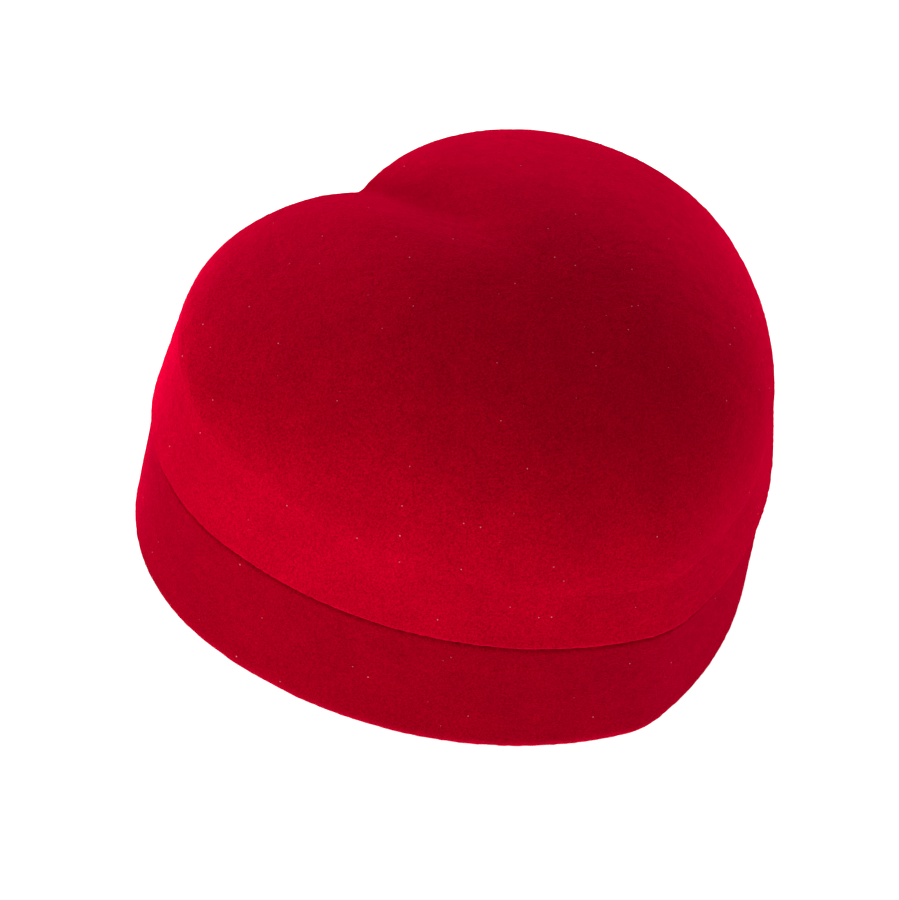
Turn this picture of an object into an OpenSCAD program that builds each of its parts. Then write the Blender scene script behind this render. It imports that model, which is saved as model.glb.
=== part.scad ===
// Heart-shaped trinket box: a flocked base and a puffed, flocked lid on a sprung hinge,
// with a slit ring cushion in the base and a padded satin lining in the lid.
// +X runs across the two lobes, +Y towards the cleft and the hinge, +Z up.
// The origin is on the underside, in the middle of the lid's outline.

/* [Outline] */
// Width of the lid across both lobes
box_w = 50; // [49:0.5:52]
// Depth of the lid from lobes to tip
box_d = 44.9; // [44:0.3:46]
// Radius of each lobe
lobe_r = 17.4; // [16.8:0.1:17.8]
// Radius of the rounded tip
tip_r = 8.5; // [7.5:0.5:9.5]
// Radius of the long curve from lobe to tip
side_r = 30.4; // [29.6:0.2:32.4]
// Radius of the fillet at the bottom of the cleft
cleft_r = 0.7; // [0.4:0.1:1.5]

/* [Heights] */
// Overall height of the closed box
box_h = 31.3; // [30.3:0.5:35.3]
// Height of the parting plane between base and lid
split_z = 11.9; // [11.4:0.5:12.9]
// Height of the lid's upright wall
wall_h = 7.4; // [6.9:0.5:8.4]

/* [Dome] */
// How far the wall leans in by the foot of the dome
lean = 0.85; // [0:0.05:1]
// Flatness of the top
flat_n = 2.1; // [1.6:0.1:2.6]
// Fullness of the shoulder
full_m = 1.66; // [1.3:0.02:2.4]
// How much higher the dome starts round the lobes than at the sides, and lower at the tip
foot_rise = 2.3; // [0:0.1:3]
// How round the level curves become towards the top
round_k = 0.92; // [0.7:0.01:1]
// How late they become round
round_p = 2.8; // [1.5:0.1:3]
// Distance of the dome's centre behind the middle of the outline, at its foot
dome_y = -2.2; // [-3:0.1:2]
// How much further back the centre moves towards the top
dome_shift = 0.5; // [-2:0.1:2]
// Height of the hump on each lobe, as a part of the dome's rise
hump_h = 0.13; // [0:0.01:0.3]
// Radius of the humps
hump_r = 9; // [7:0.1:12]
// Distance of the humps outward from the lobes' centres
hump_x = 0.6; // [0:0.1:2]
// Distance of the humps behind the lobes' centres
hump_y = -0.3; // [-2:0.1:1]

/* [Shells] */
// Wall thickness of the moulded shells, flock included
shell_t = 1.6; // [1.4:0.1:2]
// How far the lid's rim stands out past the base
overhang = 0.3; // [0.2:0.1:0.8]
// Gap between the two rims when the box is shut
rim_gap = 0.3; // [0.2:0.05:0.5]

/* [Hinge] */
// Radius of the hinge pin
pin_r = 0.6; // [0.5:0.05:0.7]
// Running clearance between the pin and its knuckles
pin_play = 0.05; // [0.02:0.01:0.08]
// Thickness of the hinge leaves
leaf_t = 0.5; // [0.4:0.05:0.6]
// Half width of the hinge
hinge_hw = 5; // [4.6:0.1:5.2]
// Diameter of the spring wire
wire_d = 0.35; // [0.3:0.05:0.4]

/* [Lining] */
// Width of the slit that grips a ring
slit_w = 0.8; // [0.5:0.1:1.2]
// Distance of the slit behind the middle of the box
slit_y = -1; // [-3:0.5:1]
// Thickness of the velvet and satin covers
cover_t = 0.5; // [0.4:0.1:0.7]

/* [Hidden] */
$fn = 48;

// Outline: centres of the arcs that make it up
function across(v) = [v.y, -v.x];
function meet(p, rp, q, rq) = let (d = q - p, n = norm(d), a = (rp * rp - rq * rq + n * n) / (2 * n))
    p + a / n * d - sqrt(rp * rp - a * a) / n * across(-d);
tip_c = [0, tip_r - box_d / 2];
lobe_c = [box_w / 2 - lobe_r, box_d / 2 - lobe_r];
side_c = meet(lobe_c, side_r - lobe_r, tip_c, side_r - tip_r);
cleft_c = [0, lobe_c.y + sqrt(pow(cleft_r + lobe_r, 2) - pow(lobe_c.x, 2))];

function angle_of(v) = atan2(v.y, v.x);
function arc(c, r, a, b, n, skip = 1) = [for (i = [skip:n])
    let (t = a + (b - a) * i / n) c + r * [cos(t), sin(t)]];

// Right half of the outline, set in by d, from the cleft round to the tip
function half_heart(d) = concat(
    arc(cleft_c, cleft_r + d, -90, angle_of(lobe_c - cleft_c), 6, 0),
    arc(lobe_c, lobe_r - d, angle_of(cleft_c - lobe_c), angle_of(lobe_c - side_c), 16),
    arc(side_c, side_r - d, angle_of(lobe_c - side_c), angle_of(tip_c - side_c), 12),
    arc(tip_c, tip_r - d, angle_of(tip_c - side_c), -90, 8));
function mirrored(p) = [for (i = [len(p) - 2:-1:1]) [-p[i].x, p[i].y]];
function heart(d) = let (h = half_heart(d)) concat(h, mirrored(h));
function at_z(p, z) = [for (q = p) [q.x, q.y, z]];

// Dome: level curves shrink from the outline to a round top, and its foot rises to the lobes
wall_z = split_z + wall_h;
dome_c = [0, dome_y];
dome_s = [for (a = [9:9:81]) pow(cos(a), 2 / flat_n)];
function mean_r(p) = [for (q = p) norm(q - dome_c)] * [for (q = p) 1] / len(p);
function foot_z(q) = let (v = q - dome_c) wall_z + foot_rise * v.y / norm(v);
function level(p, s) = let (k = round_k * (1 - pow(s, round_p)), r = mean_r(p))
    [for (q = p) let (v = q - dome_c)
        dome_c + [0, dome_shift * (1 - s)] + v * s * (1 - k + k * r / norm(v))];

// Rise of the dome above its foot: a round cap with a hump on each lobe
function bell(x) = exp(-x * x / 2);
function hump(w) = bell(norm(w - hump_c) / hump_r) + bell(norm(w - [-hump_c.x, hump_c.y]) / hump_r);
function rise(w, s) = pow(1 - pow(s, flat_n), 1 / full_m) + hump_h * hump(w) * (1 - pow(s, 4));
hump_c = lobe_c + [hump_x, hump_y];
apex = dome_c + [0, dome_shift];
peak = max([for (s = dome_s) for (w = level(heart(lean), s)) rise(w, s)]);

function dome_ring(p, s, top) = let (ring = level(p, s))
    [for (i = [0:len(p) - 1]) let (f = foot_z(p[i]), w = ring[i])
        [w.x, w.y, f + (top - f) * rise(w, s) / peak]];
function dome_top(top) = [apex.x, apex.y, wall_z + (top - wall_z) * rise(apex, 0) / peak];
function dome(d, top) = let (p = heart(lean + d)) concat(
    [[for (q = p) [q.x, q.y, foot_z(q)]]], [for (s = dome_s) dome_ring(p, s, top)]);
function backwards(v) = [for (i = [len(v) - 1:-1:0]) v[i]];

// A closed skin over a stack of rings that comes to a point at both ends
module loft(rings, first_tip, last_tip) {
    n = len(rings[0]);
    last = (len(rings) - 1) * n;
    sides = [for (i = [0:len(rings) - 2]) for (j = [0:n - 1])
        let (k = (j + 1) % n) [i * n + j, i * n + k, (i + 1) * n + k, (i + 1) * n + j]];
    first_end = [for (j = [0:n - 1]) [(j + 1) % n, j, last + n]];
    last_end = [for (j = [0:n - 1]) [last + j, last + (j + 1) % n, last + n + 1]];
    polyhedron([for (r = rings) each r, first_tip, last_tip], concat(first_end, sides, last_end),
               convexity = 6);
}

module slab(d, z0, z1) {
    translate([0, 0, z0]) linear_extrude(z1 - z0) polygon(heart(d));
}

// Room for the hinge in the linings: a bay across the cleft, grown by g
bay_hw = hinge_hw + 1;
bay_y = 9.6;
module bay(g, z0, z1) {
    translate([-bay_hw - g, bay_y - g, z0]) cube([2 * (bay_hw + g), box_d, z1 - z0]);
}
module lining_slab(d, g, z0, z1) {
    difference() {
        slab(d, z0, z1);
        bay(g, z0 - 1, z1 + 1);
    }
}

// Heights inside the base
floor_z = shell_t;
base_rim_z = split_z - rim_gap / 2;
lid_rim_z = split_z + rim_gap / 2;
lip_z = split_z + 2;
card_z = floor_z + 0.1;
card_t = 0.8;
foam_z = card_z + card_t + 0.1;
pad_z = split_z - 1.6;

// Insets from the lid's outline
base_in = overhang;
liner_in = base_in + shell_t + 0.3;
liner_t = 1;
pad_in = liner_in + liner_t + 0.3;

// Heights inside the lid
lid_liner_z = lip_z + 0.5;
lid_card_z = split_z + 7.5;
satin_z = lid_card_z - 3;
lid_liner_in = shell_t + lean + 0.8;
lid_pad_in = lid_liner_in + liner_t + 0.3;
lid_bay = 1.3;

// Hinge: the axis lies on the parting plane, just behind the lobes
axis_y = box_d / 2 + 0.1;
knuckle_r = pin_r + leaf_t + 0.05;
bore_r = pin_r + pin_play;
leaf_low = knuckle_r - leaf_t;
leaf_y0 = 10.8;
leaf_y1 = axis_y - knuckle_r - 0.45;
shelf_y0 = 10.6;
rivet_y = 12.9;
rivet_x = 3;
rivet_r = 0.5;
rivet_head_r = 1;
lid_knuckle_x = [2.05, hinge_hw - 1.7];
base_knuckle_x = [hinge_hw - 1.6, hinge_hw];
coil_in = knuckle_r + 0.02;
coil_hw = 1.85;

module shelf(z0, z1) {
    translate([0, 0, z0]) linear_extrude(z1 - z0) intersection() {
        polygon(heart(base_in + shell_t / 2));
        translate([-hinge_hw - 0.3, shelf_y0]) square([2 * hinge_hw + 0.6, box_d]);
    }
}

module slot(z0, z1) {
    translate([-hinge_hw - 0.5, shelf_y0 - 0.3, z0])
        cube([2 * hinge_hw + 1, box_d, z1 - z0]);
}

// Room for the leg of the spring that bears on the lid (side 1) or on the base (side -1)
leg_x = coil_hw - wire_d / 2 - 0.02;
leg_z = coil_in + wire_d / 2;
module leg_groove(side) {
    translate([side * leg_x - wire_d, axis_y - 4.8, split_z + side * leg_z - wire_d])
        cube([2 * wire_d, 4.8, 2 * wire_d]);
}

module at_rivets() {
    for (s = [-1, 1]) translate([s * rivet_x, rivet_y, 0]) children();
}

module base_shell() {
    color([0.62, 0.0, 0.09]) difference() {
        union() {
            difference() {
                slab(base_in, 0, base_rim_z);
                slab(base_in + shell_t, floor_z, box_h);
            }
            shelf(floor_z - 0.5, base_rim_z - 0.3);
        }
        slot(split_z - knuckle_r, split_z + 1);
        leg_groove(-1);
        at_rivets() translate([0, 0, split_z - knuckle_r - 2.2]) cylinder(r = rivet_r + 0.03, h = 4);
    }
}

module liner_ring(d, z0, z1) {
    difference() {
        lining_slab(d, 0, z0, z1);
        lining_slab(d + liner_t, liner_t, z0 - 1, z1 + 1);
    }
}

module base_liner() {
    color([0.55, 0.0, 0.08]) liner_ring(liner_in, floor_z + 0.1, lip_z);
}

module pad_card() {
    color([0.75, 0.7, 0.6]) lining_slab(pad_in, pad_in - liner_in, card_z, card_z + card_t);
}

// The half of a heart-shaped slab before (side -1) or behind (side 1) the slit
module pad_half(side, g, z0, z1) {
    cut = slit_y + side * (slit_w / 2 + g);
    intersection() {
        lining_slab(pad_in + g, pad_in - liner_in + g, z0, z1);
        translate([-box_w, side < 0 ? cut - 2 * box_d : cut, z0 - 1])
            cube([2 * box_w, 2 * box_d, z1 - z0 + 2]);
    }
}

module pad_foam(side) {
    color([0.93, 0.9, 0.82]) pad_half(side, cover_t + 0.02, foam_z, pad_z - cover_t - 0.02);
}

module pad_cover(side) {
    color([0.5, 0.0, 0.07]) difference() {
        pad_half(side, 0, foam_z, pad_z);
        pad_half(side, cover_t, foam_z - 1, pad_z - cover_t);
    }
}

module pad_foam_front() {
    pad_foam(-1);
}

module pad_foam_rear() {
    pad_foam(1);
}

module pad_cover_front() {
    pad_cover(-1);
}

module pad_cover_rear() {
    pad_cover(1);
}

// A leaf: a plate with a finger to each of its knuckles; up is 1 for the lid, -1 for the base
module hinge_leaf(knuckle_x, up) {
    z0 = up > 0 ? leaf_low : -knuckle_r;
    color([0.8, 0.66, 0.35]) translate([0, 0, split_z]) difference() {
        union() {
            translate([-hinge_hw, leaf_y0, z0]) cube([2 * hinge_hw, leaf_y1 - leaf_y0, leaf_t]);
            for (s = [-1, 1]) {
                x0 = s > 0 ? knuckle_x[0] : -knuckle_x[1];
                w = knuckle_x[1] - knuckle_x[0];
                translate([x0, leaf_y1 - 1, z0]) cube([w, axis_y - leaf_y1 + 1, leaf_t]);
                translate([x0, axis_y, 0]) rotate([0, 90, 0]) cylinder(r = knuckle_r, h = w);
            }
        }
        translate([-hinge_hw - 1, axis_y, 0]) rotate([0, 90, 0])
            cylinder(r = bore_r, h = 2 * hinge_hw + 2);
        at_rivets() translate([0, 0, z0 - 1]) cylinder(r = rivet_r + 0.03, h = leaf_t + 2);
    }
}

module hinge_base_leaf() {
    hinge_leaf(base_knuckle_x, -1);
}

module hinge_lid_leaf() {
    hinge_leaf(lid_knuckle_x, 1);
}

// Rivets: a shank into the shelf and a domed head on the leaf
module rivets(up) {
    color([0.85, 0.72, 0.4]) at_rivets() translate([0, 0, split_z]) mirror([0, 0, up > 0 ? 1 : 0])
        translate([0, 0, -knuckle_r]) {
            translate([0, 0, -2]) cylinder(r = rivet_r, h = 2 + leaf_t + 0.1);
            translate([0, 0, leaf_t + 0.01]) cylinder(r = rivet_head_r, h = 0.35);
        }
}

module hinge_base_rivets() {
    rivets(-1);
}

module hinge_lid_rivets() {
    rivets(1);
}

module hinge_pin() {
    color([0.82, 0.82, 0.84]) translate([0, axis_y, split_z]) rotate([0, 90, 0]) {
        translate([0, 0, -hinge_hw - 0.1]) cylinder(r = pin_r, h = 2 * hinge_hw + 0.2);
        for (s = [-1, 1]) translate([0, 0, s * (hinge_hw + 0.25) - 0.15])
            cylinder(r = pin_r + 0.3, h = 0.3);
    }
}

// The envelope of the coil, with the two legs that close the box
module hinge_spring() {
    leg_r = wire_d / 2 - 0.02;
    color([0.75, 0.76, 0.78]) translate([0, axis_y, split_z]) {
        rotate([0, 90, 0]) difference() {
            translate([0, 0, -coil_hw]) cylinder(r = coil_in + wire_d, h = 2 * coil_hw);
            translate([0, 0, -coil_hw - 1]) cylinder(r = coil_in, h = 2 * coil_hw + 2);
        }
        for (s = [-1, 1]) translate([s * leg_x, 0, s * leg_z])
            rotate([90, 0, 0]) cylinder(r = leg_r, h = 4.4);
    }
}

module lid_shell() {
    color([0.72, 0.0, 0.11]) difference() {
        union() {
            loft(concat(backwards(dome(shell_t, box_h - shell_t)), [at_z(heart(shell_t), lid_rim_z)],
                        [at_z(heart(0), lid_rim_z)], dome(0, box_h)),
                 dome_top(box_h - shell_t), dome_top(box_h));
            shelf(lid_rim_z + 0.3, split_z + knuckle_r + 4);
        }
        slot(split_z - 1, split_z + knuckle_r);
        leg_groove(1);
        at_rivets() translate([0, 0, split_z + knuckle_r - 1.8]) cylinder(r = rivet_r + 0.03, h = 4);
    }
}

module lid_liner() {
    color([0.55, 0.0, 0.08]) liner_ring(lid_liner_in, lid_liner_z, lid_card_z);
}

module lid_card() {
    color([0.75, 0.7, 0.6]) lining_slab(lid_pad_in, lid_bay, lid_card_z - card_t, lid_card_z);
}

module lid_wadding() {
    color([0.97, 0.96, 0.93]) lining_slab(lid_pad_in + cover_t + 0.05, lid_bay + cover_t + 0.05,
                                          satin_z + cover_t + 0.05, lid_card_z - card_t - 0.1);
}

module lid_satin() {
    color([0.95, 0.93, 0.9]) difference() {
        lining_slab(lid_pad_in, lid_bay, satin_z, lid_card_z - card_t - 0.05);
        lining_slab(lid_pad_in + cover_t, lid_bay + cover_t, satin_z + cover_t, lid_card_z + 1);
    }
}

base_shell();
base_liner();
pad_card();
pad_foam_front();
pad_foam_rear();
pad_cover_front();
pad_cover_rear();
hinge_base_leaf();
hinge_base_rivets();
hinge_pin();
hinge_spring();
lid_shell();
lid_liner();
lid_card();
lid_wadding();
lid_satin();
hinge_lid_leaf();
hinge_lid_rivets();
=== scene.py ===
"""Looks of a heart-shaped trinket box: flocked shells, ring cushion, satin lining and hinge.

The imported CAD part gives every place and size; all lengths here are in metres.
"""
import math

import bmesh
import bpy
import numpy as np
from mathutils import Matrix, Vector, noise


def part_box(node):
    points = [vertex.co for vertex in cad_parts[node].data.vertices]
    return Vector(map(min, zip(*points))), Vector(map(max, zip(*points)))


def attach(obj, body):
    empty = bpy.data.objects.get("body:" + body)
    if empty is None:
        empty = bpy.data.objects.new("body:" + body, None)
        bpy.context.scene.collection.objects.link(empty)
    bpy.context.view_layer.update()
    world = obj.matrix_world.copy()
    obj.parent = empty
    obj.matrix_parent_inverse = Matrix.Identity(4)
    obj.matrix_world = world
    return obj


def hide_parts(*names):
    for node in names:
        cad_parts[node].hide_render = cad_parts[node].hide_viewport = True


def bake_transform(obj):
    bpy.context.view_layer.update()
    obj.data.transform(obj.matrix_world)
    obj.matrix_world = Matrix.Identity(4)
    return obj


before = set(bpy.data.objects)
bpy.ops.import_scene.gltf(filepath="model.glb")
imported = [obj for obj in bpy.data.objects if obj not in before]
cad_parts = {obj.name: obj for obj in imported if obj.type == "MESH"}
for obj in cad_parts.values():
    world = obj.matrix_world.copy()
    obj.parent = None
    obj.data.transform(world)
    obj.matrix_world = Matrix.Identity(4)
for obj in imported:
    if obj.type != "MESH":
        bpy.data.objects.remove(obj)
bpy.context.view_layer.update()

MM = 0.001

# ---------------------------------------------------------------- driving sizes
WIDTH = 50.0 * MM
DEPTH = 44.9 * MM
LOBE_R = 17.4 * MM
TIP_R = 8.5 * MM
SIDE_R = 30.4 * MM
CLEFT_R = 0.7 * MM
SHELL_T = 1.6 * MM
OVERHANG = 0.3 * MM
WALL_H = 7.4 * MM
FOOT_ROUND = 1.85 * MM
RIM_ROUND = 0.35 * MM

# The dome: wall lean, profile, roundness, centre and the humps on the lobes
LEAN = 0.85 * MM
FLAT_N = 2.1
FULL_M = 1.66
FOOT_RISE = 2.3 * MM
ROUND_K = 0.92
ROUND_P = 2.8
DOME_Y = -2.2 * MM
DOME_SHIFT = 0.5 * MM
HUMP_H = 0.13
HUMP_R = 9 * MM
HUMP_SHIFT = (0.6 * MM, -0.3 * MM)

# The crease that runs from the cleft over the dome and fades towards the middle
CREASE_DEPTH = 1.3 * MM
CREASE_HW = 2.2 * MM
CREASE_FADES_Y = 1.0 * MM
CREASE_FULL_Y = 13.0 * MM

LID_LOW, LID_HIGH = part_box("lid_shell")
BASE_RIM_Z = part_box("base_shell")[1][2]
TOP_Z = LID_HIGH[2]
LID_RIM_Z = LID_LOW[2]
SPLIT_Z = (LID_RIM_Z + BASE_RIM_Z) / 2
WALL_Z = SPLIT_Z + WALL_H

PIN_LOW, PIN_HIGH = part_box("hinge_pin")
AXIS = Vector((0.0, (PIN_LOW[1] + PIN_HIGH[1]) / 2, (PIN_LOW[2] + PIN_HIGH[2]) / 2))
KNUCKLE_R = (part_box("hinge_base_leaf")[1][2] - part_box("hinge_base_leaf")[0][2]) / 2
HINGE_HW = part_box("hinge_base_leaf")[1][0]


# ---------------------------------------------------------------- heart outline
TIP_C = np.array([0.0, TIP_R - DEPTH / 2])
LOBE_C = np.array([WIDTH / 2 - LOBE_R, DEPTH / 2 - LOBE_R])
CLEFT_C = np.array([0.0, LOBE_C[1] + math.sqrt((CLEFT_R + LOBE_R) ** 2 - LOBE_C[0] ** 2)])


def meet(p, p_radius, q, q_radius):
    """The left crossing of two circles round p and q."""
    d = q - p
    n = np.hypot(*d)
    a = (p_radius ** 2 - q_radius ** 2 + n ** 2) / (2 * n)
    return p + a / n * d - math.sqrt(p_radius ** 2 - a ** 2) / n * np.array([-d[1], d[0]])


SIDE_C = meet(LOBE_C, SIDE_R - LOBE_R, TIP_C, SIDE_R - TIP_R)


def heart_arcs(inset):
    """Right half from cleft to tip: (centre, radius, sign of an inset, first and last angle)."""

    def angle(v):
        return math.atan2(v[1], v[0])

    return [
        (CLEFT_C, CLEFT_R + inset, 1.0, -math.pi / 2, angle(LOBE_C - CLEFT_C)),
        (LOBE_C, LOBE_R - inset, -1.0, angle(CLEFT_C - LOBE_C), angle(LOBE_C - SIDE_C)),
        (SIDE_C, SIDE_R - inset, -1.0, angle(LOBE_C - SIDE_C), angle(TIP_C - SIDE_C)),
        (TIP_C, TIP_R - inset, -1.0, angle(TIP_C - SIDE_C), -math.pi / 2),
    ]


class Outline:
    """Points spread evenly round the heart set in by inset; at() sets them in further."""

    def __init__(self, count, inset=0.0):
        arcs = heart_arcs(inset)
        lengths = np.array([abs(a[4] - a[3]) * a[1] for a in arcs])
        ends = np.concatenate([[0.0], np.cumsum(lengths)])
        half = ends[-1]
        centre, radius, sign, ray = [], [], [], []
        for i in range(count):
            along = 2 * half * i / count
            mirror = along > half
            if mirror:
                along = 2 * half - along
            k = min(int(np.searchsorted(ends, along, side="right")) - 1, len(arcs) - 1)
            c, r, s, a, b = arcs[k]
            t = a + (b - a) * (along - ends[k]) / lengths[k]
            flip = -1.0 if mirror else 1.0
            centre.append((c[0] * flip, c[1]))
            ray.append((math.cos(t) * flip, math.sin(t)))
            radius.append(r)
            sign.append(s)
        self.centre = np.array(centre)
        self.ray = np.array(ray)
        self.radius = np.array(radius)
        self.sign = np.array(sign)

    def at(self, inset):
        """The outline set in by inset, one number or one for each point."""
        return self.centre + self.ray * (self.radius + self.sign * inset)[:, None]


def at_z(points, z):
    """Rows of x, y with a height, one number or one for each point."""
    return np.column_stack([points, np.broadcast_to(z, len(points))])


def foot_z(points):
    v = points - [0.0, DOME_Y]
    return WALL_Z + FOOT_RISE * v[:, 1] / np.hypot(v[:, 0], v[:, 1])


def level(foot, s):
    """The level curve at s, from 1 at the foot to 0 at the apex, which rounds off on its way up."""
    v = foot - [0.0, DOME_Y]
    reach = np.hypot(v[:, 0], v[:, 1])
    k = ROUND_K * (1 - s ** ROUND_P)
    centre = np.array([0.0, DOME_Y + DOME_SHIFT * (1 - s)])
    return centre + v * (s * (1 - k + k * reach.mean() / reach))[:, None]


def bell(x):
    return np.exp(-x * x / 2)


def smoothstep(x):
    x = np.clip(x, 0.0, 1.0)
    return x * x * (3 - 2 * x)


def rise(w, s):
    """Rise above the foot: a round cap with a hump on each lobe."""
    hump = 0
    for side in (-1, 1):
        x = w[:, 0] - side * (LOBE_C[0] + HUMP_SHIFT[0])
        y = w[:, 1] - LOBE_C[1] - HUMP_SHIFT[1]
        hump = hump + bell(np.hypot(x, y) / HUMP_R)
    return (1 - s ** FLAT_N) ** (1 / FULL_M) + HUMP_H * hump * (1 - s ** 4)


def crease(w, s):
    """How far the crease drops the dome below its smooth shape."""
    along = smoothstep((w[:, 1] - CREASE_FADES_Y) / (CREASE_FULL_Y - CREASE_FADES_Y))
    return CREASE_DEPTH * bell(w[:, 0] / CREASE_HW) * along * (1 - s ** 8)


def dome_rings(outline, inset, top, steps):
    """Rings of the dome from its foot to just short of the apex, and the apex."""
    turns = [math.cos(math.pi / 2 * i / steps) ** (2 / FLAT_N) for i in range(steps)]
    crown = outline.at(LEAN)
    peak = max(rise(level(crown, s), s).max() for s in turns)
    foot = outline.at(LEAN + inset)
    low = foot_z(foot)
    rings = []
    for s in turns:
        w = level(foot, s)
        rings.append(at_z(w, low + (top - low) * rise(w, s) / peak - crease(w, s)))
    apex = np.array([[0.0, DOME_Y + DOME_SHIFT]])
    tip = (0.0, DOME_Y + DOME_SHIFT, WALL_Z + (top - WALL_Z) * float(rise(apex, 0.0)[0]) / peak)
    return rings, tip


# ---------------------------------------------------------------- mesh helpers
def new_object(name, verts, faces, smooth=True):
    mesh = bpy.data.meshes.new(name)
    mesh.from_pydata([tuple(v) for v in verts], [], faces)
    mesh.validate()
    mesh.polygons.foreach_set("use_smooth", [smooth] * len(mesh.polygons))
    obj = bpy.data.objects.new(name, mesh)
    bpy.context.scene.collection.objects.link(obj)
    return obj


def loft(name, rings, first=None, last=None):
    """A skin over closed rings of equal length; an end closes to a point where one is given,
    or else with one flat face."""
    n = len(rings[0])
    verts = np.vstack(rings)
    faces = []
    for i in range(len(rings) - 1):
        for j in range(n):
            k = (j + 1) % n
            faces.append((i * n + j, i * n + k, (i + 1) * n + k, (i + 1) * n + j))
    end = (len(rings) - 1) * n
    tips = []
    if first is None:
        faces.append(tuple(range(n - 1, -1, -1)))
    else:
        faces += [((j + 1) % n, j, len(verts)) for j in range(n)]
        tips.append(first)
    if last is None:
        faces.append(tuple(end + j for j in range(n)))
    else:
        faces += [(end + j, end + (j + 1) % n, len(verts) + len(tips)) for j in range(n)]
        tips.append(last)
    if tips:
        verts = np.vstack([verts, tips])
    obj = new_object(name, verts, faces)
    recalculate_normals(obj)
    return obj


def recalculate_normals(obj):
    bm = bmesh.new()
    bm.from_mesh(obj.data)
    bmesh.ops.recalc_face_normals(bm, faces=bm.faces)
    bm.to_mesh(obj.data)
    bm.free()


def roughen(obj, depth, grain, seed):
    """Moves each vertex a little along its normal, for the uneven surface of the pile."""
    mesh = obj.data
    offset = Vector((seed, 0.37 * seed, 1.71 * seed))
    for v, normal in zip(mesh.vertices, [Vector(n.vector) for n in mesh.vertex_normals]):
        fine = noise.noise(v.co / grain + offset)
        coarse = noise.noise(v.co / (grain * 6) + offset)
        v.co += normal * depth * (fine + 0.6 * coarse)


# ---------------------------------------------------------------- materials
# How many features of each texture there are in a metre
PILE_PER_M = 6800.0
PATCHES_PER_M = 260.0
FLECKS_PER_M = 950.0
FLECK_GROUPS_PER_M = 410.0
FIBRES_PER_M = 2600.0
SATIN_THREADS_PER_M = (9000.0, 900.0, 2500.0)
SATIN_CLOUDS_PER_M = 180.0
DRAWN_LINES_PER_M = (400.0, 9000.0, 9000.0)
TARNISH_PER_M = 700.0

FLECK_COLOUR = (0.75, 0.25, 0.32)


def node_material(name):
    """A new material, its node tree and its shader."""
    mat = bpy.data.materials.new(name)
    mat.use_nodes = True
    tree = mat.node_tree
    shader = tree.nodes["Principled BSDF"]
    return mat, tree, shader


def add(tree, kind, **values):
    node = tree.nodes.new(kind)
    for key, value in values.items():
        if key in node.inputs:
            node.inputs[key].default_value = value
        else:
            setattr(node, key, value)
    return node


def object_coords(tree):
    return add(tree, "ShaderNodeTexCoord").outputs["Object"]


def noise_texture(tree, coords, scale, detail=2.0, roughness=0.5):
    node = add(tree, "ShaderNodeTexNoise", Scale=scale, Detail=detail, Roughness=roughness)
    tree.links.new(coords, node.inputs["Vector"])
    return node.outputs["Fac"]


def ramp(tree, factor, stops):
    node = add(tree, "ShaderNodeValToRGB")
    while len(node.color_ramp.elements) < len(stops):
        node.color_ramp.elements.new(0.5)
    for element, (place, colour) in zip(node.color_ramp.elements, stops):
        element.position = place
        element.color = (*colour, 1.0)
    tree.links.new(factor, node.inputs["Fac"])
    return node.outputs["Color"]


def mix(tree, factor, a, b, blend="MIX"):
    node = add(tree, "ShaderNodeMix", data_type="RGBA", blend_type=blend)
    for socket, value in ((node.inputs[0], factor), (node.inputs[6], a), (node.inputs[7], b)):
        if isinstance(value, bpy.types.NodeSocket):
            tree.links.new(value, socket)
        elif isinstance(value, (int, float)):
            socket.default_value = value
        else:
            socket.default_value = (*value, 1.0)
    return node.outputs[2]


def bump(tree, shader, height, strength, distance):
    node = add(tree, "ShaderNodeBump", Strength=strength, Distance=distance)
    tree.links.new(height, node.inputs["Height"])
    tree.links.new(node.outputs["Normal"], shader.inputs["Normal"])


def velvet(name, deep, bright, sheen_tint, sheen=1.0, sheen_rough=0.42, fleck=0.5):
    """Short dense pile: fine grain, faint brushed patches, sparse pale fibres and a sheen."""
    mat, tree, shader = node_material(name)
    coords = object_coords(tree)
    grain = noise_texture(tree, coords, PILE_PER_M, 3.0, 0.7)
    patches = noise_texture(tree, coords, PATCHES_PER_M, 3.0, 0.55)
    base = ramp(tree, grain, [(0.36, deep), (0.64, bright)])
    shade = ramp(tree, patches, [(0.3, (0.86, 0.86, 0.86)), (0.7, (1.0, 1.0, 1.0))])
    base = mix(tree, 1.0, base, shade, "MULTIPLY")
    cells = add(tree, "ShaderNodeTexVoronoi", Scale=FLECKS_PER_M, Randomness=1.0)
    tree.links.new(coords, cells.inputs["Vector"])
    dots = ramp(tree, cells.outputs["Distance"], [(0.035, (1, 1, 1)), (0.06, (0, 0, 0))])
    picked = noise_texture(tree, coords, FLECK_GROUPS_PER_M, 1.0)
    chosen = ramp(tree, picked, [(0.5, (0, 0, 0)), (0.54, (fleck, fleck, fleck))])
    speck = mix(tree, 1.0, dots, chosen, "MULTIPLY")
    base = mix(tree, speck, base, FLECK_COLOUR)
    tree.links.new(base, shader.inputs["Base Color"])
    bump(tree, shader, grain, 0.7, 0.00012)
    shader.inputs["Roughness"].default_value = 1.0
    shader.inputs["Specular IOR Level"].default_value = 0.0
    shader.inputs["Sheen Weight"].default_value = sheen
    shader.inputs["Sheen Roughness"].default_value = sheen_rough
    shader.inputs["Sheen Tint"].default_value = (*sheen_tint, 1.0)
    return mat


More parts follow.
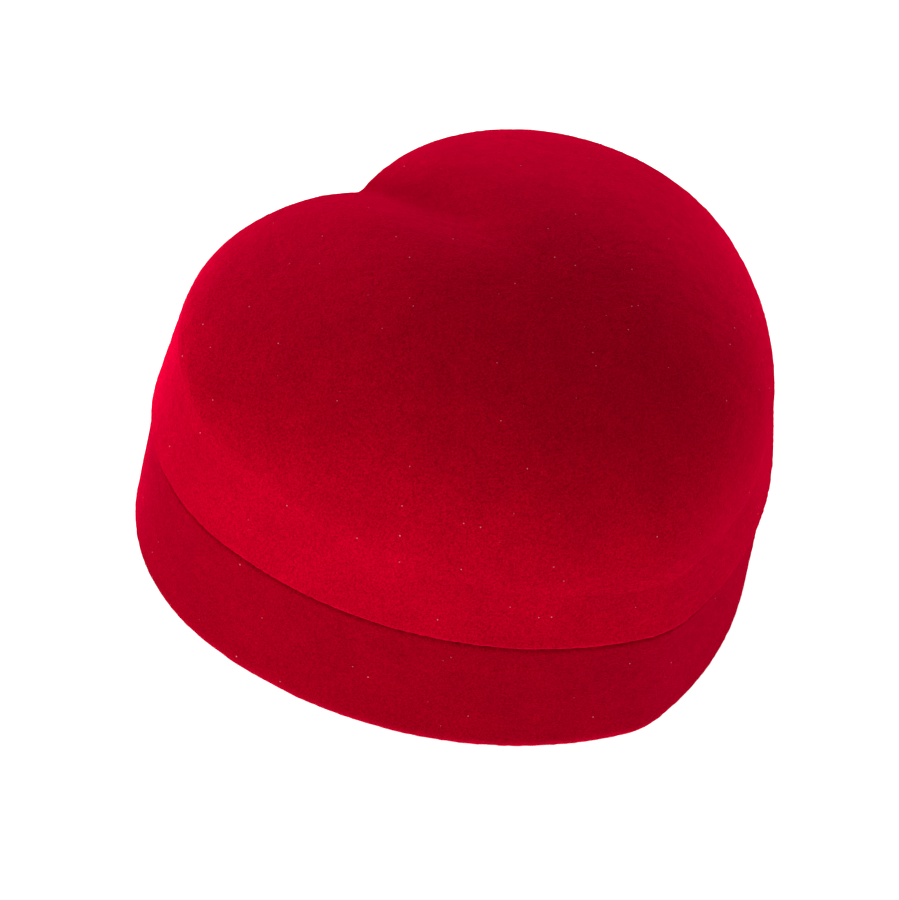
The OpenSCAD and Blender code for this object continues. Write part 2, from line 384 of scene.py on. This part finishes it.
def satin(name, colour, shadow):
    """Woven satin: long fine threads, a soft lustre and slight unevenness."""
    mat, tree, shader = node_material(name)
    coords = object_coords(tree)
    stretch = add(tree, "ShaderNodeMapping")
    stretch.inputs["Scale"].default_value = SATIN_THREADS_PER_M
    tree.links.new(coords, stretch.inputs["Vector"])
    threads = noise_texture(tree, stretch.outputs["Vector"], 1.0, 2.0)
    cloud = noise_texture(tree, coords, SATIN_CLOUDS_PER_M, 2.0)
    tone = mix(tree, 0.5, ramp(tree, threads, [(0.3, shadow), (0.7, colour)]),
               ramp(tree, cloud, [(0.3, shadow), (0.6, colour)]))
    tree.links.new(tone, shader.inputs["Base Color"])
    bump(tree, shader, threads, 0.25, 0.00004)
    shader.inputs["Roughness"].default_value = 0.34
    shader.inputs["Sheen Weight"].default_value = 0.3
    shader.inputs["Specular IOR Level"].default_value = 0.6
    shader.inputs["Anisotropic"].default_value = 0.5
    return mat


def metal(name, colour, worn, rough):
    """Drawn or stamped metal with fine lines and slight tarnish."""
    mat, tree, shader = node_material(name)
    coords = object_coords(tree)
    stretch = add(tree, "ShaderNodeMapping")
    stretch.inputs["Scale"].default_value = DRAWN_LINES_PER_M
    tree.links.new(coords, stretch.inputs["Vector"])
    lines = noise_texture(tree, stretch.outputs["Vector"], 1.0, 2.0)
    cloud = noise_texture(tree, coords, TARNISH_PER_M, 3.0)
    tree.links.new(ramp(tree, cloud, [(0.35, worn), (0.6, colour)]), shader.inputs["Base Color"])
    roughness = add(tree, "ShaderNodeMapRange")
    roughness.inputs["To Min"].default_value = rough * 0.8
    roughness.inputs["To Max"].default_value = rough * 1.3
    tree.links.new(lines, roughness.inputs["Value"])
    tree.links.new(roughness.outputs["Result"], shader.inputs["Roughness"])
    bump(tree, shader, lines, 0.15, 0.00002)
    shader.inputs["Metallic"].default_value = 1.0
    return mat


def board(name, colour, speckle):
    """A matt sheet or block with short fibres or fine pores: card, foam or wadding."""
    mat, tree, shader = node_material(name)
    coords = object_coords(tree)
    fibres = noise_texture(tree, coords, FIBRES_PER_M, 4.0, 0.7)
    tree.links.new(ramp(tree, fibres, [(0.35, speckle), (0.6, colour)]), shader.inputs["Base Color"])
    bump(tree, shader, fibres, 0.3, 0.00005)
    shader.inputs["Roughness"].default_value = 0.9
    return mat


def matt_floor(name, colour, glow):
    """A matt sheet that glows a little, so that it shows white."""
    mat, tree, shader = node_material(name)
    shader.inputs["Base Color"].default_value = (*colour, 1.0)
    shader.inputs["Roughness"].default_value = 0.9
    shader.inputs["Specular IOR Level"].default_value = 0.1
    shader.inputs["Emission Color"].default_value = (1.0, 1.0, 1.0, 1.0)
    shader.inputs["Emission Strength"].default_value = glow
    return mat


LID_VELVET = velvet("lid_velvet", (0.17, 0.0, 0.003), (0.325, 0.0, 0.01), (1.0, 0.0, 0.06), sheen=0.8)
# The base's velvet is the lid's velvet made darker, as painted shade on the base wall under the lid.
BASE_VELVET_PAINTED_SHADE = velvet("base_velvet_painted_shade", (0.11, 0.0, 0.002), (0.21, 0.0, 0.006), (1.0, 0.0, 0.06), sheen=0.65)
LINER_VELVET = velvet("liner_velvet", (0.12, 0.0, 0.001), (0.23, 0.0, 0.003), (1.0, 0.02, 0.1), fleck=0.2)
PAD_VELVET = velvet("pad_velvet", (0.11, 0.0, 0.001), (0.21, 0.0, 0.003), (1.0, 0.03, 0.11), fleck=0.2)
SATIN = satin("ivory_satin", (0.76, 0.69, 0.58), (0.62, 0.55, 0.44))
BRASS = metal("plated_brass", (0.86, 0.66, 0.33), (0.66, 0.47, 0.20), 0.28)
FOAM = board("cream_foam", (0.80, 0.74, 0.60), (0.66, 0.60, 0.48))
WADDING = board("white_wadding", (0.85, 0.84, 0.80), (0.74, 0.73, 0.70))
STEEL = metal("drawn_steel", (0.72, 0.72, 0.73), (0.52, 0.52, 0.54), 0.3)
CARD = board("grey_card", (0.55, 0.48, 0.38), (0.40, 0.34, 0.26))
LID_CARD = board("ivory_card", (0.72, 0.65, 0.54), (0.60, 0.53, 0.42))


def finish_piece(obj, material, body, nodes):
    """Gives a piece its material, the body it rides on and the nodes it stands for."""
    obj.data.materials.clear()
    obj.data.materials.append(material)
    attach(obj, body)
    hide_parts(*nodes)


# ---------------------------------------------------------------- flocked shells
SHELL_POINTS = 420
CORNER_STEPS = 8
PILE_DEPTH = 0.05 * MM
PILE_GRAIN = 0.28 * MM
SLOT_HW = HINGE_HW + 0.5 * MM
SLOT_EDGE = 0.5 * MM
SLOT_BACK = 10.3 * MM
LEG_ROOM = 0.45 * MM
LEG_ROOM_HW = 2.1 * MM
SHELF_HW = HINGE_HW + 0.3 * MM
SHELF_FRONT_Y = 10.6 * MM
LID_SHELF_T = 4 * MM


def slot_depth(points):
    """How far the rim is cut away where the hinge leaves pass through the cleft's wall."""
    inside = 1 - smoothstep((np.abs(points[:, 0]) - SLOT_HW + SLOT_EDGE / 2) / SLOT_EDGE)
    at_legs = 1 - smoothstep((np.abs(points[:, 0]) - LEG_ROOM_HW) / SLOT_EDGE)
    return (KNUCKLE_R * inside + LEG_ROOM * at_legs) * (points[:, 1] > SLOT_BACK)


def rounded_rim(outline, outer, inner, rim_z, up, steps=5):
    """Rings round the rim from the outer wall to the inner wall; up is 1 for a rim that faces up."""
    cut = slot_depth(outline.at(outer))
    rings = []
    for edge, way in ((outer, 1), (inner, -1)):
        for i in range(steps + 1):
            a = math.pi / 2 * (i / steps if way > 0 else 1 - i / steps)
            inset = edge + way * RIM_ROUND * (1 - math.cos(a))
            drop = RIM_ROUND * (1 - math.sin(a))
            rings.append(at_z(outline.at(inset), rim_z - up * (drop + cut)))
    return rings


def wall_rings(outline, low, high, z_low, z_high, steps):
    """Rings strictly between two levels, with the inset and the height blended."""
    rings = []
    for i in range(1, steps):
        t = i / steps
        rings.append(at_z(outline.at(low + (high - low) * t), z_low + (z_high - z_low) * t))
    return rings


def make_lid_shell():
    outline = Outline(SHELL_POINTS)
    rim = rounded_rim(outline, 0.0, SHELL_T, LID_RIM_Z, -1)
    first, last = rim[0], rim[-1]
    outer_foot = foot_z(outline.at(LEAN))
    inner_foot = foot_z(outline.at(LEAN + SHELL_T))
    outer_wall = wall_rings(outline, 0.0, LEAN, first[:, 2], outer_foot, 34)
    inner_wall = wall_rings(outline, SHELL_T, LEAN + SHELL_T, last[:, 2], inner_foot, 8)
    outer_dome, outer_tip = dome_rings(outline, 0.0, TOP_Z, 92)
    inner_dome, inner_tip = dome_rings(outline, SHELL_T, TOP_Z - SHELL_T, 22)
    rings = inner_dome[::-1] + inner_wall[::-1] + rim[::-1] + outer_wall + outer_dome
    obj = loft("lid_flocked_shell", rings, inner_tip, outer_tip)
    roughen(obj, PILE_DEPTH, PILE_GRAIN, 3.1)
    return obj


def make_base_shell():
    outline = Outline(SHELL_POINTS)
    rim = rounded_rim(outline, OVERHANG, OVERHANG + SHELL_T, BASE_RIM_Z, 1)
    inner = OVERHANG + SHELL_T
    rings = []
    for i in range(CORNER_STEPS + 1):
        a = math.pi / 2 * i / CORNER_STEPS
        inset = OVERHANG + FOOT_ROUND * (1 - math.sin(a))
        rings.append(at_z(outline.at(inset), FOOT_ROUND * (1 - math.cos(a))))
    rings += wall_rings(outline, OVERHANG, OVERHANG, FOOT_ROUND, rim[0][:, 2], 32)
    rings += rim
    rings += wall_rings(outline, inner, inner, rim[-1][:, 2], SHELL_T, 8)
    rings.append(at_z(outline.at(inner), SHELL_T))
    obj = loft("base_flocked_shell", rings)
    roughen(obj, PILE_DEPTH, PILE_GRAIN, 7.7)
    for v in obj.data.vertices:
        v.co.z = max(v.co.z, 0.0)
    return obj


def make_shelf(name, z_low, z_high):
    """The moulded block that a hinge leaf is riveted to."""
    edge = Outline(900).at(OVERHANG + SHELL_T / 2)
    back = edge[(np.abs(edge[:, 0]) < SHELF_HW) & (edge[:, 1] > SHELF_FRONT_Y)]
    back = back[np.argsort(back[:, 0])]
    loop = np.vstack([[-SHELF_HW, SHELF_FRONT_Y], back[::3], [SHELF_HW, SHELF_FRONT_Y]])[::-1]
    obj = loft(name, [at_z(loop, z_low), at_z(loop, z_high)])
    obj.data.polygons.foreach_set("use_smooth", [False] * len(obj.data.polygons))
    return obj


lid_shell = make_lid_shell()
finish_piece(lid_shell, LID_VELVET, "lid", ["lid_shell"])
base_shell = make_base_shell()
finish_piece(base_shell, BASE_VELVET_PAINTED_SHADE, "base", ["base_shell"])
base_shelf = make_shelf("base_hinge_shelf", SHELL_T, SPLIT_Z - KNUCKLE_R)
finish_piece(base_shelf, LINER_VELVET, "base", ["base_shell"])
lid_shelf = make_shelf("lid_hinge_shelf", SPLIT_Z + KNUCKLE_R, SPLIT_Z + KNUCKLE_R + LID_SHELF_T)
finish_piece(lid_shelf, LINER_VELVET, "lid", ["lid_shell"])


# ---------------------------------------------------------------- hinge
WIRE_D = 0.35 * MM
COIL_TURNS = 6.5
COIL_STEPS = 260
LEG_STEPS = 12


def tube(name, path, radius, sides=12):
    """A round wire along a path, closed at both ends."""
    path = np.asarray(path)
    ahead = np.gradient(path, axis=0)
    ahead /= np.linalg.norm(ahead, axis=1)[:, None]
    side = np.cross(ahead[0], [1.0, 0.0, 0.0])
    rings = []
    for p, t in zip(path, ahead):
        side = side - t * np.dot(side, t)
        side /= np.linalg.norm(side)
        other = np.cross(t, side)
        turns = np.linspace(0, 2 * math.pi, sides, endpoint=False)
        rings.append(p + radius * (np.cos(turns)[:, None] * side + np.sin(turns)[:, None] * other))
    return loft(name, rings)


def make_spring():
    """A torsion spring: the coil round the knuckles, with a leg to the lid and one to the base."""
    low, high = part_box("hinge_spring")
    wire = WIRE_D / 2
    coil_r = (high[1] - AXIS[1]) - wire
    reach = AXIS[1] - low[1]
    half = high[0] - wire
    path = [(-half, AXIS[1] - reach * (1 - i / LEG_STEPS), AXIS[2] + coil_r) for i in range(LEG_STEPS)]
    for i in range(COIL_STEPS + 1):
        t = i / COIL_STEPS
        a = math.pi / 2 - 2 * math.pi * COIL_TURNS * t
        path.append((half * (2 * t - 1), AXIS[1] + coil_r * math.cos(a), AXIS[2] + coil_r * math.sin(a)))
    path += [(half, AXIS[1] - reach * i / LEG_STEPS, AXIS[2] - coil_r) for i in range(1, LEG_STEPS + 1)]
    return tube("torsion_spring", path, wire)


spring = make_spring()
spring.data.materials.append(STEEL)
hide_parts("hinge_spring")
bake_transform(spring)

for node, material in (
    ("hinge_base_leaf", BRASS), ("hinge_lid_leaf", BRASS), ("hinge_base_rivets", BRASS),
    ("hinge_lid_rivets", BRASS), ("hinge_pin", STEEL), ("lid_card", LID_CARD), ("pad_card", CARD),
):
    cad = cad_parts[node]
    cad.data.materials.clear()
    cad.data.materials.append(material)


# ---------------------------------------------------------------- linings
BAY_HW = HINGE_HW + 1 * MM
BAY_Y = 9.6 * MM
LINER_T = 1.0 * MM
LINER_IN = OVERHANG + SHELL_T + 0.3 * MM
LID_LINER_IN = SHELL_T + LEAN + 0.8 * MM
LINER_PILE_DEPTH = 0.04 * MM
LINER_STEPS = 14
LIP_STEPS = 12


def resample(loop, count):
    """The closed loop again with its points spread evenly."""
    closed = np.vstack([loop, loop[:1]])
    steps = np.hypot(*np.diff(closed, axis=0).T)
    along = np.concatenate([[0.0], np.cumsum(steps)])
    places = np.linspace(0, along[-1], count, endpoint=False)
    return np.column_stack([np.interp(places, along, closed[:, i]) for i in (0, 1)])


def soften(loop, passes):
    """Rounds the corners of an evenly spaced loop."""
    for _ in range(passes):
        loop = (np.roll(loop, 1, 0) + 2 * loop + np.roll(loop, -1, 0)) / 4
    return loop


def inward(loop, distance):
    """The clockwise loop moved in by a distance along its normals."""
    ahead = np.roll(loop, -1, 0) - np.roll(loop, 1, 0)
    ahead /= np.hypot(ahead[:, 0], ahead[:, 1])[:, None]
    return loop + distance * np.column_stack([ahead[:, 1], -ahead[:, 0]])


def lining_loop(inset, grow):
    """The heart set in, clockwise, with a square bay for the hinge cut across the cleft."""
    heart = Outline(1600, inset).at(0.0)
    half = BAY_HW + grow
    front = BAY_Y - grow
    inside = (np.abs(heart[:, 0]) < half) & (heart[:, 1] > front)
    first = int(np.argmin(inside))
    kept = np.roll(heart, -first, axis=0)[~np.roll(inside, -first)]
    back = kept[0, 1]
    steps = np.linspace(0, 1, 40)
    down = [(-half, back + (front - back) * t) for t in steps]
    across = [(-half + 2 * half * t, front) for t in steps[1:-1]]
    up = [(half, front + (back - front) * t) for t in steps]
    return np.vstack([kept, down, across, up])


def make_liner(name, inset, z_low, z_high, lip):
    """A flocked sleeve with a rounded lip at its upper end (lip 1) or its lower end (lip -1)."""
    loop = soften(resample(lining_loop(inset, 0.0), 520), 4)
    inner = inward(loop, LINER_T)
    half = LINER_T / 2
    edge, far = (z_high, z_low) if lip > 0 else (z_low, z_high)
    turn = edge - lip * half
    shares = [i / (LINER_STEPS - 1) for i in range(LINER_STEPS)]
    rings = [at_z(loop, far + (turn - far) * t) for t in shares]
    for i in range(1, LIP_STEPS):
        a = math.pi * i / LIP_STEPS
        rings.append(at_z(inward(loop, half * (1 - math.cos(a))), turn + lip * half * math.sin(a)))
    rings += [at_z(inner, turn + (far - turn) * t) for t in shares]
    n, count = len(loop), len(rings)
    faces = []
    for i in range(count):
        row, above = i * n, (i + 1) % count * n
        faces += [(row + j, row + (j + 1) % n, above + (j + 1) % n, above + j) for j in range(n)]
    obj = new_object(name, np.vstack(rings), faces)
    recalculate_normals(obj)
    roughen(obj, LINER_PILE_DEPTH, PILE_GRAIN, 5.0)
    return obj


def heights(node):
    """Lowest and highest z of a node."""
    low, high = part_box(node)
    return low[2], high[2]


base_liner = make_liner("base_flocked_liner", LINER_IN, *heights("base_liner"), 1)
finish_piece(base_liner, LINER_VELVET, "base", ["base_liner"])
lid_liner = make_liner("lid_flocked_liner", LID_LINER_IN, *heights("lid_liner"), -1)
finish_piece(lid_liner, LINER_VELVET, "lid", ["lid_liner"])


# ---------------------------------------------------------------- stuffed pieces
PAD_IN = LINER_IN + LINER_T + 0.3 * MM
PAD_GROW = PAD_IN - LINER_IN
LID_PAD_IN = LID_LINER_IN + LINER_T + 0.3 * MM
LID_BAY = 1.3 * MM
SLIT_Y = -1.0 * MM
SLIT_W = 0.8 * MM
PAD_CORNER = 1.6 * MM

# Before it swells the velvet stands in and down from its place by these, and the foam by more
VELVET_IN = 0.35 * MM
VELVET_DOWN = 0.7 * MM
VELVET_SWELL = 0.9 * MM
FOAM_IN = 1.0 * MM
FOAM_UP = 0.3 * MM
FOAM_DOWN = 1.5 * MM

# The same for the lid's satin and wadding, whose flat side is the upper one
SATIN_IN = 0.3 * MM
SATIN_UP = 0.8 * MM
SATIN_CORNER = 1.5 * MM
SATIN_SWELL = 1.0 * MM
WADDING_IN = 0.8 * MM
WADDING_DOWN = 0.3 * MM
WADDING_UP = 1.6 * MM
WADDING_CORNER = 1.2 * MM

# Cloth is simulated this much larger than life, where its settings behave
SIM_SCALE = 20.0
SIM_FRAMES = 20
SIM_VOXEL = 0.45 * MM


def stuffed_solid(name, loop, z_flat, z_full, corner):
    """A pad with one flat face at z_flat and a rounded shoulder up (or down) to z_full."""
    way = 1.0 if z_full > z_flat else -1.0
    rings = [at_z(loop, z_flat)]
    for i in range(CORNER_STEPS + 1):
        a = math.pi / 2 * i / CORNER_STEPS
        z = z_full - way * corner * (1 - math.sin(a))
        rings.append(at_z(inward(loop, corner * (1 - math.cos(a))), z))
    return loft(name, rings)


def apply_modifiers(obj):
    """Replaces the object's mesh with what its modifiers make of it."""
    graph = bpy.context.evaluated_depsgraph_get()
    mesh = bpy.data.meshes.new_from_object(obj.evaluated_get(graph))
    obj.modifiers.clear()
    old = obj.data
    obj.data = mesh
    bpy.data.meshes.remove(old)


def remesh(obj, voxel, smooth):
    modifier = obj.modifiers.new("remesh", "REMESH")
    modifier.mode = "VOXEL"
    modifier.voxel_size = voxel
    soft = obj.modifiers.new("smooth", "SMOOTH")
    soft.factor = 0.5
    soft.iterations = smooth
    apply_modifiers(obj)


def read_points(mesh):
    flat = np.empty(len(mesh.vertices) * 3)
    mesh.vertices.foreach_get("co", flat)
    return flat.reshape(-1, 3)


def write_points(mesh, points):
    mesh.vertices.foreach_set("co", points.ravel())
    mesh.update()


def inflate(obj, voxel, pressure, limit, flat_z, slack=0.0, bending=0.5):
    """Blows the piece up as sewn cloth with its flat face held, each point moving limit at most."""
    mesh = obj.data
    write_points(mesh, read_points(mesh) * SIM_SCALE)
    remesh(obj, voxel * SIM_SCALE, 6)
    mesh = obj.data
    start = read_points(mesh)
    held = obj.vertex_groups.new(name="held")
    near = np.abs(start[:, 2] - flat_z * SIM_SCALE) < voxel * SIM_SCALE
    held.add([int(i) for i in np.flatnonzero(near)], 1.0, "REPLACE")
    cloth = obj.modifiers.new("cloth", "CLOTH")
    cloth.settings.quality = 6
    cloth.settings.mass = 0.3
    cloth.settings.bending_stiffness = bending
    cloth.settings.use_pressure = True
    cloth.settings.uniform_pressure_force = pressure
    cloth.settings.vertex_group_mass = "held"
    cloth.settings.shrink_min = -slack
    cloth.settings.effector_weights.gravity = 0.0
    cloth.collision_settings.use_collision = False
    cloth.point_cache.frame_start = 1
    cloth.point_cache.frame_end = SIM_FRAMES
    scene = bpy.context.scene
    for step in range(1, SIM_FRAMES + 1):
        scene.frame_set(step)
    apply_modifiers(obj)
    scene.frame_set(1)
    mesh = obj.data
    move = read_points(mesh) - start
    length = np.linalg.norm(move, axis=1)
    cap = limit * SIM_SCALE
    move *= (cap * np.tanh(length / cap) / np.maximum(length, 1e-9))[:, None]
    start = start + move
    obj.vertex_groups.clear()
    write_points(mesh, start / SIM_SCALE)
    finer = obj.modifiers.new("finer", "SUBSURF")
    finer.levels = 1
    apply_modifiers(obj)
    obj.data.polygons.foreach_set("use_smooth", [True] * len(obj.data.polygons))


def pad_loop(side, inset):
    """Plan of the half pad in front of (side -1) or behind (side 1) the ring slit."""
    heart = lining_loop(PAD_IN + inset, PAD_GROW + inset)
    edge = SLIT_Y + side * (SLIT_W / 2 + inset)
    out = (heart[:, 1] - edge) * side < 0
    first = int(np.argmax(out)) if side > 0 else int(np.argmax(~out & np.roll(out, 1)))
    kept = np.roll(heart, -first, axis=0)
    kept = kept[(kept[:, 1] - edge) * side >= 0]
    a, b = kept[-1], kept[0]
    across = [(a[0] + (b[0] - a[0]) * t, edge) for t in np.linspace(0, 1, 160)]
    return soften(resample(np.vstack([kept, across]), 400), 8)


def make_pads():
    low, high = heights("pad_cover_front")
    for side, word in ((-1, "front"), (1, "rear")):
        cover = stuffed_solid(f"pad_cover_{word}_velvet", pad_loop(side, VELVET_IN),
                              low, high - VELVET_DOWN, PAD_CORNER)
        inflate(cover, SIM_VOXEL, 5.0, VELVET_SWELL, low)
        finish_piece(cover, PAD_VELVET, "base", [f"pad_cover_{word}"])
        foam = stuffed_solid(f"pad_foam_{word}_core", pad_loop(side, FOAM_IN),
                             low + FOAM_UP, high - FOAM_DOWN, PAD_CORNER)
        finish_piece(foam, FOAM, "base", [f"pad_foam_{word}"])


def make_lid_panel():
    low, high = heights("lid_satin")
    outline = lining_loop(LID_PAD_IN + SATIN_IN, LID_BAY + SATIN_IN)
    loop = soften(resample(outline, 520), 10)
    panel = stuffed_solid("lid_satin_panel", loop, high, low + SATIN_UP, SATIN_CORNER)
    inflate(panel, SIM_VOXEL, 4.0, SATIN_SWELL, high, slack=0.06, bending=0.1)
    finish_piece(panel, SATIN, "lid", ["lid_satin"])
    core = stuffed_solid("lid_wadding_core", inward(loop, WADDING_IN),
                         high - WADDING_DOWN, low + WADDING_UP, WADDING_CORNER)
    finish_piece(core, WADDING, "lid", ["lid_wadding"])


make_pads()
make_lid_panel()


# ---------------------------------------------------------------- stage, lights, camera
FLOOR_HW = 3.0


def make_floor():
    corners = [(-FLOOR_HW, -FLOOR_HW, 0), (FLOOR_HW, -FLOOR_HW, 0),
               (FLOOR_HW, FLOOR_HW, 0), (-FLOOR_HW, FLOOR_HW, 0)]
    floor = new_object("floor", corners, [(0, 1, 2, 3)], smooth=False)
    floor.data.materials.append(matt_floor("white_floor", (0.88, 0.88, 0.88), 0.75))


def direction(azimuth, elevation):
    """Unit vector from the box towards a viewer or a light; azimuth 0 is in front, at -Y."""
    a = math.radians(azimuth)
    e = math.radians(elevation)
    return Vector((math.sin(a) * math.cos(e), -math.cos(a) * math.cos(e), math.sin(e)))


TARGET = Vector((0.0, 0.0, 18 * MM))


def area_light(name, azimuth, elevation, distance, size, watts):
    data = bpy.data.lights.new(name, "AREA")
    data.shape = "DISK"
    data.size = size
    data.energy = watts
    light = bpy.data.objects.new(name, data)
    bpy.context.scene.collection.objects.link(light)
    towards = direction(azimuth, elevation)
    light.location = TARGET + towards * distance
    light.rotation_euler = towards.to_track_quat("Z", "Y").to_euler()


def make_world(strength):
    world = bpy.data.worlds.new("studio")
    bpy.context.scene.world = world
    world.use_nodes = True
    background = world.node_tree.nodes["Background"]
    background.inputs["Color"].default_value = (1.0, 1.0, 1.0, 1.0)
    background.inputs["Strength"].default_value = strength


CAMERA_AZIMUTH = -45.91
CAMERA_ELEVATION = 45.17
CAMERA_ROLL = 12.03
CAMERA_DISTANCE = 3.1
VIEW_WIDTH = 68.979 * MM
SHIFT_RIGHT = -4.127 * MM
SHIFT_UP = -4.278 * MM
SENSOR = 36.0


def make_camera():
    back = direction(CAMERA_AZIMUTH, CAMERA_ELEVATION)
    a = math.radians(CAMERA_AZIMUTH)
    sideways = Vector((math.cos(a), math.sin(a), 0))
    upright = back.cross(sideways)
    r = math.radians(CAMERA_ROLL)
    right = math.cos(r) * sideways + math.sin(r) * upright
    up = math.cos(r) * upright - math.sin(r) * sideways
    data = bpy.data.cameras.new("camera")
    data.sensor_fit = "HORIZONTAL"
    data.sensor_width = SENSOR
    data.lens = SENSOR * CAMERA_DISTANCE / VIEW_WIDTH
    data.clip_start = 0.05
    data.clip_end = 20.0
    camera = bpy.data.objects.new("camera", data)
    bpy.context.scene.collection.objects.link(camera)
    place = TARGET + right * SHIFT_RIGHT + up * SHIFT_UP + back * CAMERA_DISTANCE
    turn = Matrix((right, up, back)).transposed().to_4x4()
    camera.matrix_world = Matrix.Translation(place) @ turn
    bpy.context.scene.camera = camera


make_floor()
make_world(0.13)
area_light("key", azimuth=-78, elevation=5, distance=0.9, size=0.5, watts=14.5)
area_light("fill", azimuth=-8, elevation=8, distance=1.0, size=0.8, watts=6.3)
area_light("back", azimuth=155, elevation=14, distance=1.0, size=0.6, watts=11.5)
area_light("left_rim", azimuth=-132, elevation=14, distance=1.0, size=0.6, watts=4.5)
area_light("right", azimuth=78, elevation=10, distance=1.0, size=0.7, watts=9.5)
make_camera()
bpy.context.scene.view_settings.view_transform = "Standard"
